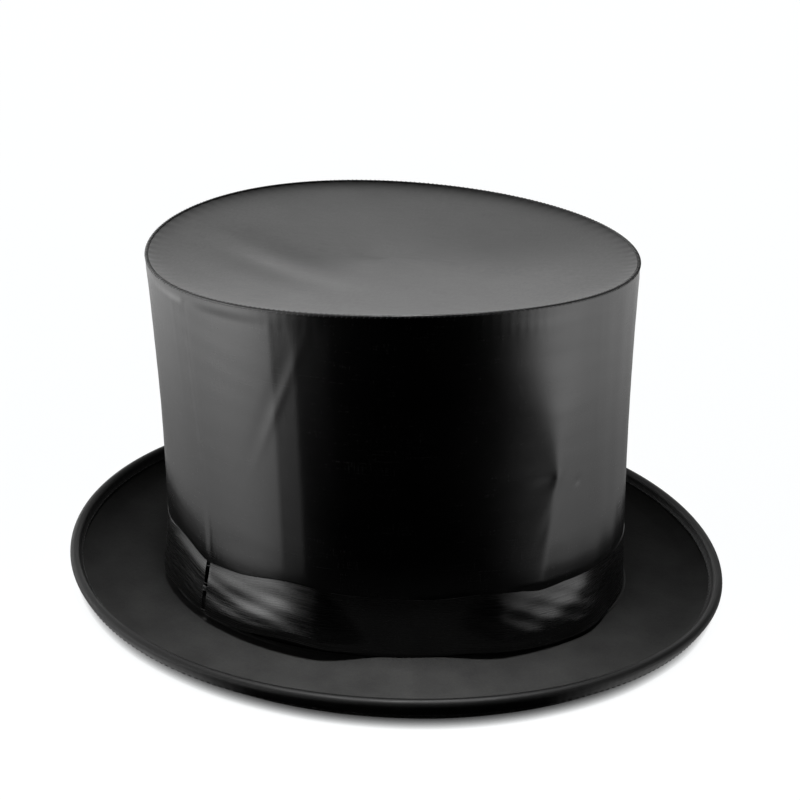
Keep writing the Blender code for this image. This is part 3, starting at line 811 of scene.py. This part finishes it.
def band_relief(t, h):
    """How far the ribbon stands out; h runs from 0 at its foot to 1 at its top edge."""
    low = 1 - h
    left = window(t, -123.1, -93.0, 1.8, 4.0 + 13.0 * low)
    right = window(t, -49.0, -27.0, 8.0 + 9.0 * low, 8.0 + 13.0 * low)
    behind = window(t, -146.0, -123.9, 14, 1.8)
    arch = np.sin(math.pi * h)
    lean = low * ramp(h, -0.35, 0.18)
    swell = 5.0 + 1.6 * ramp(around(t, -106), -14, 14)
    out = 0.55 + 0.05 * ripple(t, h, 8, (4, 18), 5, 41)
    out = out + np.maximum(left * swell, behind * 4.6) * lean
    out = out + left * 0.09 * np.sin(9 * h + 5.2 * np.sin(2.1 * t + 1.0)) * arch
    out = out + left * 0.06 * np.sin(21 * h + 20 * t) * arch
    puckers = 0.15 * np.sin(8 * h - 17 * t) * arch + 0.08 * np.sin(19 * h + 31 * t) * arch
    out = out + right * (5.0 * lean + puckers)
    out = out + behind * 0.3 * bell(h - 0.82, 0.16)
    out = out + 0.05 * np.exp(-(1 - h) / 0.05) * (1 + 0.5 * ripple(t, 0, 4, (3, 9), 1, 43))
    ends = np.exp(-np.abs(around(t, JOINT)) / 1.0)
    out = out + ends * (0.35 * arch - 0.25)
    return np.maximum(out, 0.34) * MM


# How far the ribbon has ridden up, in millimetres, round given directions and over given widths in degrees
BAND_RISES = ((-136, 3.7, 9.0), (-124, -1.5, 4.5), (-100, 3.4, 10.0), (-80, 1.8, 16.0), (-54, 1.6, 9.0))


def band_edges(t):
    """Where the ribbon's foot and top edge run: it rides up on both sides of its joint."""
    up = sum(rise * bell(around(t, place), width) for place, rise, width in BAND_RISES) * MM
    foot = BAND_FOOT + 0.10 * MM * ripple(t, 0, 4, (2, 7), 1, 45) + 0.85 * np.maximum(up, 0)
    foot = foot + 1.6 * MM * window(t, -122.0, -96.0, 14.0, 22.0)
    return foot, BAND_TOP + up + 0.15 * MM * ripple(t, 0, 5, (2, 6), 1, 46)


def make_band():
    """The satin ribbon, open at its joint."""
    start = math.radians(JOINT) + JOINT_HALF_GAP
    t = np.linspace(start, start + TAU - 2 * JOINT_HALF_GAP, 900)[None, :]
    h = np.linspace(0, 1, 34)[:, None]
    foot, top = band_edges(t)
    z = foot + (top - foot) * h
    x, y = oval(t, wall_size(z), band_relief(t, h))
    width = BAND_TOP - BAND_FOOT
    band = wall_sheet("ribbon_band", x, y, z, t, h * width, closed=False)
    solid(band, RIBBON_THICK)
    dress(band, "ribbon", "base", "ribbon", "hat_band")


def make_joint_stitches():
    """The ribbon's ends are caught together: small stitches across the joint and a knot."""
    rng = np.random.default_rng(SEED + 51)
    parts = []
    half = math.radians(1.05)
    middle = math.radians(JOINT)
    for h in (0.08, 0.46, 0.53, 0.60, 0.93):
        path = []
        for k in range(7):
            s = k / 6 * 2 - 1
            t = middle + half * s
            foot, top = band_edges(t)
            z = float(foot + (top - foot) * (h + 0.02 * s + rng.normal(0, 0.003)))
            lift = float(band_relief(t, h)) + 0.10 * MM - 0.20 * MM * s * s
            x, y = oval(t, wall_size(z), lift)
            path.append((float(x), float(y), z))
        parts.append(tube_data(path, 0.15 * MM, 6))
    z = BAND_FOOT + (BAND_TOP - BAND_FOOT) * KNOT_PLACE
    x, y = oval(middle, wall_size(z), float(band_relief(middle, KNOT_PLACE)) + 0.45 * MM)
    for turn in range(3):
        path = []
        for k in range(17):
            a = TAU * k / 16
            loop = Vector((0.0, 0.75 * math.cos(a), 1.15 * math.sin(a)))
            loop.rotate(Matrix.Rotation(turn * 1.05, 3, "X"))
            loop.rotate(Matrix.Rotation(math.atan2(y, x) + 0.3 * math.sin(2 * a), 3, "Z"))
            path.append(Vector((float(x), float(y), z)) + loop * MM)
        parts.append(tube_data(path, 0.26 * MM, 8, caps=False))
    made = joined("joint_stitches", parts)
    dress(made, "thread", "base", "thread", "band_knot")


CORD_OUT = 1.1 * MM


def make_base_piping():
    """A fine twisted cord where the crown meets the brim."""
    low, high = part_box("base_piping")[0][2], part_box("base_piping")[1][2]
    radius = (high - low) / 2
    centre = (high + low) / 2

    def section(t):
        for i in range(12):
            a = TAU * i / 12
            puff = 1 + 0.13 * np.cos(3 * a + 330 * t)
            out = CORD_OUT + radius * np.cos(a) * puff * 0.95
            yield *oval(t, BASE, out), centre + radius * np.sin(a) * puff

    cord = ring_piece("base_cord", section, 1500)
    dress(cord, "binding", "base", "ribbon", "base_piping")


# The brim


def curl(t, along, off):
    """Points of the brim's curled section, at a length along it and a distance off its middle."""
    end = np.radians(CURL_TURN + sum(c * np.cos(n * t) for n, c in enumerate(CURL_WAVES, start=1)))
    radius = CURL_LENGTH / end
    start = -BINDING_OUT - radius * np.sin(np.minimum(end, math.pi / 2))
    turn = along / radius
    x, y = oval(t, RIM, start + (radius + off) * np.sin(turn))
    return x, y, BRIM_MIDDLE + radius - (radius + off) * np.cos(turn)


# How far the felt sweeps up where it meets the crown, and how far its layers lie from the brim's middle
SWEEP = 2.2 * MM
TOP_FELT = 1.35 * MM
UNDER_FELT = 1.33 * MM
FELT_THICK = 0.5 * MM
FELT_STEPS = 720


def cover_rows(off, sign, length, noise_seed, inner):
    """Rows of a felt cover from the crown out and up the curl; off is its distance from the middle."""

    def section(t):
        flat = 30
        foot = oval(t, BASE, inner)
        start = curl(t, 0.0, 0.0)
        for i in range(flat):
            share = i / flat
            wave = 0.10 * MM * ripple(t, share * 2, 6, (3, 12), 3, noise_seed) * math.sin(math.pi * share)
            x, y = (p + (q - p) * share for p, q in zip(foot, start))
            swept = SWEEP * math.exp(-share / 0.13)
            yield x, y, BRIM_MIDDLE - sign * off + (wave + swept if sign < 0 else 0)
        for i in range(17):
            fuzz = 0.05 * MM * ripple(t, i * 0.3, 6, (9, 30), 3, noise_seed + 1)
            yield curl(t, length * i / 16, sign * off + fuzz)

    return section


def make_brim():
    """The brim's two felt covers."""
    length = CURL_LENGTH - 1.4 * MM
    rows = cover_rows(TOP_FELT, -1, length, 61, 0.4 * MM)
    top = ring_piece("felt_top", rows, FELT_STEPS, closed_section=False)
    dress(top, "felt", "base", "felt", "brim_top_cover")
    solid(top, FELT_THICK)
    rows = cover_rows(UNDER_FELT, 1, length, 71, -1.8 * MM)
    under = ring_piece("felt_under", rows, FELT_STEPS, closed_section=False)
    dress(under, "felt", "base", "felt", "brim_under_cover")
    solid(under, FELT_THICK)


def face_outward(obj, up):
    """Turns an open sheet's faces so that its flat part looks up or down."""
    mesh = obj.data
    flat = [p for p in mesh.polygons if abs(p.normal.z) > 0.9]
    if (sum(p.normal.z for p in flat) > 0) != up:
        mesh.flip_normals()


def edge_point(t, radius, turn):
    """Points round the brim wire's centre; turn 0 points on along the curl, a quarter turn outward."""
    x, y, z = curl(t, CURL_LENGTH, 0.0)
    far = curl(t, CURL_LENGTH, 1.0)
    onward = curl(t, CURL_LENGTH + 0.1 * MM, 0.0)
    c, s = radius * math.cos(turn), radius * math.sin(turn)
    step = 1 / (0.1 * MM)
    return tuple(p + s * (q - p) + c * step * (r - p) for p, q, r in zip((x, y, z), far, onward))


BINDING_LEG = 4.1 * MM
BINDING_OUTER, BINDING_INNER = 2.15 * MM, 1.75 * MM
BINDING_POINTS = 27


def binding_line(t, off, share):
    """Points of the binding's section: down the outside, over the edge and down the inside."""
    arc = math.pi * off
    run = share * (2 * BINDING_LEG + arc)
    if run < BINDING_LEG:
        return curl(t, CURL_LENGTH - BINDING_LEG + run, off)
    if run < BINDING_LEG + arc:
        return edge_point(t, off, math.pi / 2 - (run - BINDING_LEG) / off)
    return curl(t, CURL_LENGTH - (run - BINDING_LEG - arc), -off)


def make_binding():
    """A ribbon folded over the brim's edge, a little puckered."""

    def section(t):
        for i in range(BINDING_POINTS):
            share = i / (BINDING_POINTS - 1)
            x, y, z = binding_line(t, BINDING_OUTER, share)
            tight = 0.5 - 0.5 * math.cos(TAU * share)
            pucker = 0.050 * MM * np.sin(210 * t + 2.0 * np.sin(9 * t)) * (1 - tight)
            wave = 0.05 * MM * ripple(t, share, 5, (4, 16), 2, 81)
            side = (pucker + wave) * (1 if share < 0.5 else -1)
            away = np.hypot(x, y)
            yield x + x / away * side, y + y / away * side, z
        for i in range(BINDING_POINTS):
            yield binding_line(t, BINDING_INNER, 1 - i / (BINDING_POINTS - 1))

    binding = ring_piece("edge_binding", section, 1080)
    dress(binding, "binding", "base", "ribbon", "brim_binding")


def make_binding_stitches():
    """A row of stitches along each edge of the binding."""
    pitch = 3.0 * MM
    count = int(TAU * (RIM[0] + RIM[1]) / 2 / pitch)
    row = CURL_LENGTH - BINDING_LEG + 0.6 * MM
    parts = []
    rng = np.random.default_rng(SEED + 91)
    for side in (1, -1):
        for i in range(count):
            middle = TAU * i / count + rng.normal(0, 0.0008)
            path = []
            for k in range(6):
                s = k / 5 * 2 - 1
                lift = BINDING_OUTER + 0.14 * MM * (1 - 1.6 * s * s)
                point = curl(middle + s * 0.36 * TAU / count, row, side * lift)
                path.append(tuple(float(v) for v in point))
            parts.append(tube_data(path, 0.13 * MM, 5))
    stitches = joined("binding_stitches", parts)
    dress(stitches, "thread", "base", "thread")


# The sweatband

SWEAT_INSET = 3.05 * MM
LEATHER = 0.9 * MM


def make_sweatband():
    """A leather band with a back seam, a rolled top and zigzag stitches along its foot."""

    def section(t):
        count = 16
        seam = 1 - 0.35 * bell(around(t, 180), 0.6)
        for i in range(count + 1):
            h = i / count
            z = SWEAT_FOOT + (SWEAT_TOP - SWEAT_FOOT) * h
            roll = 0.35 * MM * math.exp(-(1 - h) / 0.05)
            wave = 0.10 * MM * ripple(t, h, 5, (2, 7), 3, 101)
            groove = 0.16 * MM * math.exp(-(((h - 0.90) / 0.02) ** 2))
            out = -(SWEAT_INSET * seam - roll * 0.3 - groove) + wave * math.sin(math.pi * h)
            yield *oval(t, wall_size(z), out), z
        for i in range(count + 1):
            h = 1 - i / count
            z = SWEAT_FOOT + (SWEAT_TOP - SWEAT_FOOT) * h
            yield *oval(t, wall_size(z), -SWEAT_INSET + LEATHER), z

    band = ring_piece("leather_sweatband", section, 480)
    dress(band, "leather", "base", "sweatband_leather", "sweatband")
    parts = []
    count = int(TAU * (BASE[0] + BASE[1]) / 2 / (3.2 * MM))
    for i in range(count):
        for half in (0, 1):
            t0 = TAU * (i + 0.5 * half) / count
            t1 = t0 + 0.5 * TAU / count
            low = SWEAT_FOOT + (1.6 + 1.5 * half) * MM
            high = SWEAT_FOOT + (3.1 - 1.5 * half) * MM
            path = []
            for k in range(5):
                s = k / 4
                z = low + (high - low) * s
                out = -SWEAT_INSET - 0.05 * MM - 0.10 * MM * math.sin(math.pi * s)
                x, y = oval(t0 + (t1 - t0) * s, wall_size(z), out)
                path.append((float(x), float(y), z))
            parts.append(tube_data(path, 0.17 * MM, 5))
    stitches = joined("sweatband_stitches", parts)
    dress(stitches, "brown_thread", "base", "thread")


# The frame's springs

WIRE = 0.4 * MM
COIL = 2.6 * MM
TURNS = 3.5
COIL_STEP = 0.9 * MM
COIL_LANE = 2.6 * MM
LEG = 15 * MM
COIL_POINTS = 24


def make_springs():
    """The elbows' springs. Coil and lower leg ride the lower arm, the upper leg the upper arm."""
    for i in range(1, 5):
        lower = JOINTS[f"elbow_{i}"]
        elbow = Vector(lower["pos_m"])
        foot = Vector((FOLD if i == 1 else JOINTS[f"lower_hinge_{i}"])["pos_m"])
        down = (foot - elbow).normalized()
        low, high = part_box(f"elbow_pin_{i}")
        middle = Vector([(a + b) / 2 for a, b in zip(low, high)])
        along = Vector(lower["axis"])
        along *= math.copysign(1, (middle - elbow).dot(along))
        out = Vector((elbow.x, elbow.y, 0))
        out = (out - along * out.dot(along)).normalized()
        up = Vector((0, 0, 1))

        def place(u, v, w):
            return elbow + out * u + along * v + up * w

        path = []
        for k in range(7):
            path.append(place(-COIL, COIL_LANE, 0) + down * (LEG * (1 - k / 6)))
        steps = int(COIL_POINTS * TURNS)
        for k in range(1, steps + 1):
            a = math.pi + TAU * k / COIL_POINTS
            along_pin = COIL_LANE + COIL_STEP * k / COIL_POINTS
            path.append(place(COIL * math.cos(a), along_pin, COIL * math.sin(a)))
        coil = joined(f"spring_coil_{i}", [tube_data(path, WIRE, 10)])
        dress(coil, "spring_steel", f"lower_link_{i}", "spring_steel", f"elbow_spring_{i}")
        end = COIL_LANE + COIL_STEP * TURNS
        side = COIL * math.cos(math.pi + TAU * TURNS)
        rise = Vector((down.x, down.y, -down.z))
        path = [place(side, end, -0.3 * MM)]
        for k in range(7):
            path.append(place(side, end, 0) + rise * (LEG * k / 6))
        leg = joined(f"spring_leg_{i}", [tube_data(path, WIRE, 10)])
        dress(leg, "spring_steel", f"upper_link_{i}", "spring_steel")


def dress_frame():
    """Better materials for the steel, buckram and wire that keep their CAD shape."""
    kinds = {
        "frame_steel": "blued_steel",
        "spring_steel": "spring_steel",
        "buckram": "buckram",
    }
    for part in frame["record"]["subparts"]:
        look = kinds.get(part["material_slot"])
        node = frame["nodes"][part["node"]]
        if look and not node.hide_render:
            node.data.materials.clear()
            node.data.materials.append(looks[look])


# Studio

CAMERA_AZIMUTH = 18.756
CAMERA_HEIGHT = 26.828
CAMERA_ROLL = 0.9185
CAMERA_AWAY = 0.81294
CAMERA_AIM = Vector((0.0010, 0.0008, 0.0618))
AIM_OFF = (0.00019, 0.01769)
LENS = 82.80
SENSOR = 36


def camera_axes():
    """The camera's right, up and backward directions."""
    a, e = math.radians(CAMERA_AZIMUTH), math.radians(CAMERA_HEIGHT)
    back = Vector((math.sin(a) * math.cos(e), -math.cos(a) * math.cos(e), math.sin(e)))
    right = Vector((math.cos(a), math.sin(a), 0))
    return right, back.cross(right), back


def make_camera():
    right, up, back = camera_axes()
    data = bpy.data.cameras.new("camera")
    data.lens = LENS
    data.sensor_width = SENSOR
    camera = bpy.data.objects.new("camera", data)
    bpy.context.collection.objects.link(camera)
    camera.location = CAMERA_AIM + back * CAMERA_AWAY
    aim = CAMERA_AIM + right * AIM_OFF[0] + up * AIM_OFF[1]
    turn = (camera.location - aim).to_track_quat("Z", "Y")
    roll = Matrix.Rotation(math.radians(CAMERA_ROLL), 3, "Z")
    camera.rotation_euler = (turn.to_matrix() @ roll).to_euler()
    bpy.context.scene.camera = camera


def area_light(name, at, aim, size, power, spread):
    """A rectangular lamp aimed at a point, its spread in degrees."""
    data = bpy.data.lights.new(name, "AREA")
    data.shape = "RECTANGLE"
    data.size, data.size_y = size
    data.energy = power
    data.spread = math.radians(spread)
    light = bpy.data.objects.new(name, data)
    light.location = at
    light.rotation_euler = (Vector(at) - Vector(aim)).to_track_quat("Z", "Y").to_euler()
    bpy.context.collection.objects.link(light)
    return light


# What the hat's glossy cloth sees of the floor: brightness by the bearing from the camera's side, in degrees
# either way, and by the distance from the hat's middle, in metres. Near the hat the bearings spread by
# FLOOR_TURN, and FLOOR_LEAN makes the left brighter than the right.
FLOOR_LIGHT = 2.2
FLOOR_ROUND = (
    (0, 0.0), (38, 0.0), (46, 0.40), (54, 1.0), (68, 1.1), (83, 0.75), (100, 0.55), (130, 0.25), (180, 0.22),
)
FLOOR_AWAY = (
    (0.0, 0.1), (0.12, 0.38), (0.17, 0.57), (0.235, 0.67), (0.29, 0.85), (0.34, 1.0), (0.42, 1.5),
    (0.70, 2.4), (3.0, 2.6),
)
FLOOR_TURN = (
    (0.0, 1.7), (0.11, 1.6), (0.136, 1.334), (0.1735, 1.184), (0.2117, 1.107), (0.26, 1.047), (0.33, 1.0),
    (3.0, 1.0),
)
FLOOR_LEAN = ((0.0, 0.14), (0.34, 0.12), (0.70, 0.5), (3.0, 0.5))

# What it sees of the room: brightness by the sine of the height and by the bearing, with left negative, and a
# low bright strip at the left
WALL_RISE = ((0.0, 1.25), (0.28, 1.30), (0.45, 1.05), (0.60, 0.65), (0.80, 0.30), (1.0, 0.25))
WALL_ROUND = (
    (-180, 1.05), (-165, 1.15), (-150, 1.55), (-100, 1.10), (-75, 1.20), (-50, 1.10), (-40, 0.05), (0, 0.0),
    (40, 0.01), (50, 0.18), (75, 0.18), (100, 0.10), (140, 0.25), (155, 1.00), (168, 1.30), (180, 1.05),
)
STRIP_LIGHT = 4.4
STRIP_RISE = ((0.0, 1.0), (0.07, 0.9), (0.16, 0.0), (1.0, 0.0))
STRIP_ROUND = ((-180, 0.1), (-140, 0.5), (-105, 0.7), (-80, 1.0), (-46, 1.0), (-39, 0.0), (180, 0.0))

# The share of all this that lights matt surfaces
FILL = 0.12

# The floor as the camera sees it, glowing pale with a contact shadow painted in by ambient occlusion, and the
# lamp over the brim's front
FLOOR_RADIUS = 6.0
FLOOR_PALE = 0.995
FLOOR_TINT = (0.985, 0.995, 1, 1)
PAINTED_SHADOW_REACH = 0.0045
PAINTED_SHADOW_POWER = 1.3
LAMP_AHEAD = 0.15
LAMP_HEIGHT = 0.95
LAMP_SIZE = (0.24, 0.12)
LAMP_SPREAD = 23
TOP_POWER = 0.31


def curve(tree, source, points):
    """A value read off a line through (place, value) points."""
    low, high = points[0][0], points[-1][0]
    top = max(value for _, value in points)
    spread = tree.nodes.new("ShaderNodeMapRange")
    for key, value in (("From Min", low), ("From Max", high)):
        spread.inputs[key].default_value = value
    tree.links.new(source, spread.inputs["Value"])
    shade = tree.nodes.new("ShaderNodeValToRGB")
    band = shade.color_ramp
    while len(band.elements) < len(points):
        band.elements.new(0.5)
    for element, (place, value) in zip(band.elements, points):
        element.position = (place - low) / (high - low)
        element.color = (value / top, value / top, value / top, 1)
    tree.links.new(spread.outputs["Result"], shade.inputs["Fac"])
    return calculate(tree, "MULTIPLY", shade.outputs["Color"], top)


def calculate(tree, operation, *values):
    """A Math node over numbers or other nodes' outputs."""
    made = tree.nodes.new("ShaderNodeMath")
    made.operation = operation
    for socket, value in zip(made.inputs, values):
        if isinstance(value, (int, float)):
            socket.default_value = value
        else:
            tree.links.new(value, socket)
    return made.outputs["Value"]


def directions(tree, output):
    """How far a point is to the camera's right and away from it, its height, and its bearing in degrees."""
    coordinates = tree.nodes.new("ShaderNodeTexCoord")
    turn = tree.nodes.new("ShaderNodeMapping")
    turn.inputs["Rotation"].default_value = (0, 0, -math.radians(CAMERA_AZIMUTH))
    tree.links.new(coordinates.outputs[output], turn.inputs["Vector"])
    apart = tree.nodes.new("ShaderNodeSeparateXYZ")
    tree.links.new(turn.outputs["Vector"], apart.inputs["Vector"])
    right, away, height = (apart.outputs[axis] for axis in "XYZ")
    bearing = calculate(tree, "ARCTAN2", right, calculate(tree, "MULTIPLY", away, -1.0))
    return right, away, height, calculate(tree, "MULTIPLY", bearing, 180 / math.pi)


def make_floor():
    """A floor that glows pale for the camera, its contact shadow painted in by ambient occlusion. For the
    hat's glossy cloth it glows dark in front and bright to the sides.
    """
    mesh = bpy.data.meshes.new("floor")
    bm = bmesh.new()
    bmesh.ops.create_circle(bm, cap_ends=True, segments=96, radius=FLOOR_RADIUS)
    bm.to_mesh(mesh)
    bm.free()
    floor = bpy.data.objects.new("floor", mesh)
    bpy.context.collection.objects.link(floor)
    look = Look("pale_paper")
    look.set(Roughness=0.9)
    look.set(Specular_IOR_Level=0.1)
    look.shader.inputs["Base Color"].default_value = (0.06, 0.06, 0.06, 1)
    # Painted shadow: ambient occlusion dims the floor's pale glow close to the hat
    shade = look.node("AmbientOcclusion", samples=8)
    shade.inputs["Distance"].default_value = PAINTED_SHADOW_REACH
    tree = look.tree
    soft = calculate(tree, "MINIMUM", calculate(tree, "POWER", shade.outputs["AO"], PAINTED_SHADOW_POWER), 1.0)
    look.link(calculate(tree, "MULTIPLY", soft, FLOOR_PALE), look.shader.inputs["Emission Strength"])
    look.set(Emission_Color=FLOOR_TINT)
    right, away, _, bearing = directions(tree, "Object")
    squares = [calculate(tree, "POWER", side, 2.0) for side in (right, away)]
    distance = calculate(tree, "SQRT", calculate(tree, "ADD", *squares))
    either_way = calculate(tree, "ABSOLUTE", bearing)
    swung = calculate(tree, "MULTIPLY", either_way, curve(tree, distance, FLOOR_TURN))
    light = calculate(tree, "MULTIPLY", curve(tree, swung, FLOOR_ROUND), curve(tree, distance, FLOOR_AWAY))
    across = calculate(tree, "DIVIDE", right, calculate(tree, "MAXIMUM", distance, 0.01))
    lean = calculate(tree, "MULTIPLY", across, curve(tree, distance, FLOOR_LEAN))
    light = calculate(tree, "MULTIPLY", light, calculate(tree, "SUBTRACT", 1.0, lean))
    path = look.node("LightPath")
    share = calculate(tree, "MULTIPLY_ADD", path.outputs["Is Glossy Ray"], 1 - FILL, FILL)
    glow = look.node("Emission")
    light = calculate(tree, "MULTIPLY", light, FLOOR_LIGHT)
    look.link(calculate(tree, "MULTIPLY", light, share), glow.inputs["Strength"])
    mix = look.node("MixShader")
    look.link(path.outputs["Is Camera Ray"], mix.inputs["Fac"])
    look.link(glow.outputs["Emission"], mix.inputs[1])
    look.link(look.shader.outputs["BSDF"], mix.inputs[2])
    look.link(mix.outputs["Shader"], tree.nodes["Material Output"].inputs["Surface"])
    floor.data.materials.append(look.material)


def make_world():
    """White all round for the camera; the hat's cloth sees a room that is brighter behind and low down."""
    world = bpy.data.worlds.new("studio")
    world.use_nodes = True
    bpy.context.scene.world = world
    tree = world.node_tree
    background = tree.nodes["Background"]
    _, _, height, bearing = directions(tree, "Generated")
    room = calculate(tree, "MULTIPLY", curve(tree, height, WALL_RISE), curve(tree, bearing, WALL_ROUND))
    strip = calculate(tree, "MULTIPLY", curve(tree, height, STRIP_RISE), curve(tree, bearing, STRIP_ROUND))
    room = calculate(tree, "MULTIPLY_ADD", strip, STRIP_LIGHT, room)
    path = tree.nodes.new("ShaderNodeLightPath")
    share = calculate(tree, "MULTIPLY_ADD", path.outputs["Is Glossy Ray"], 1 - FILL, FILL)
    room = calculate(tree, "MULTIPLY", room, share)
    camera = path.outputs["Is Camera Ray"]
    others = calculate(tree, "SUBTRACT", 1.0, camera)
    seen = calculate(tree, "ADD", calculate(tree, "MULTIPLY", room, others), camera)
    tree.links.new(seen, background.inputs["Strength"])
    background.inputs["Color"].default_value = (1, 1, 1, 1)


def make_studio():
    """The camera, the floor, the room and one soft lamp."""
    make_camera()
    make_floor()
    make_world()
    _, _, back = camera_axes()
    spot = Vector((back.x, back.y, 0)).normalized() * LAMP_AHEAD
    over = spot + Vector((0, 0, LAMP_HEIGHT))
    lamp = area_light("top_light", over, spot, LAMP_SIZE, TOP_POWER, LAMP_SPREAD)
    lamp.visible_camera = False
    scene = bpy.context.scene
    scene.view_settings.view_transform = "Standard"
    scene.view_settings.look = "None"


def main():
    make_studio()
    make_side()
    make_side_foot()
    make_side_lining()
    make_tip()
    make_tip_lining()
    make_tip_edge()
    make_joint_stitches()
    make_band()
    make_base_piping()
    make_brim()
    face_outward(bpy.data.objects["felt_top"], True)
    face_outward(bpy.data.objects["felt_under"], False)
    make_binding_stitches()
    make_binding()
    make_sweatband()
    make_springs()
    dress_frame()


main()
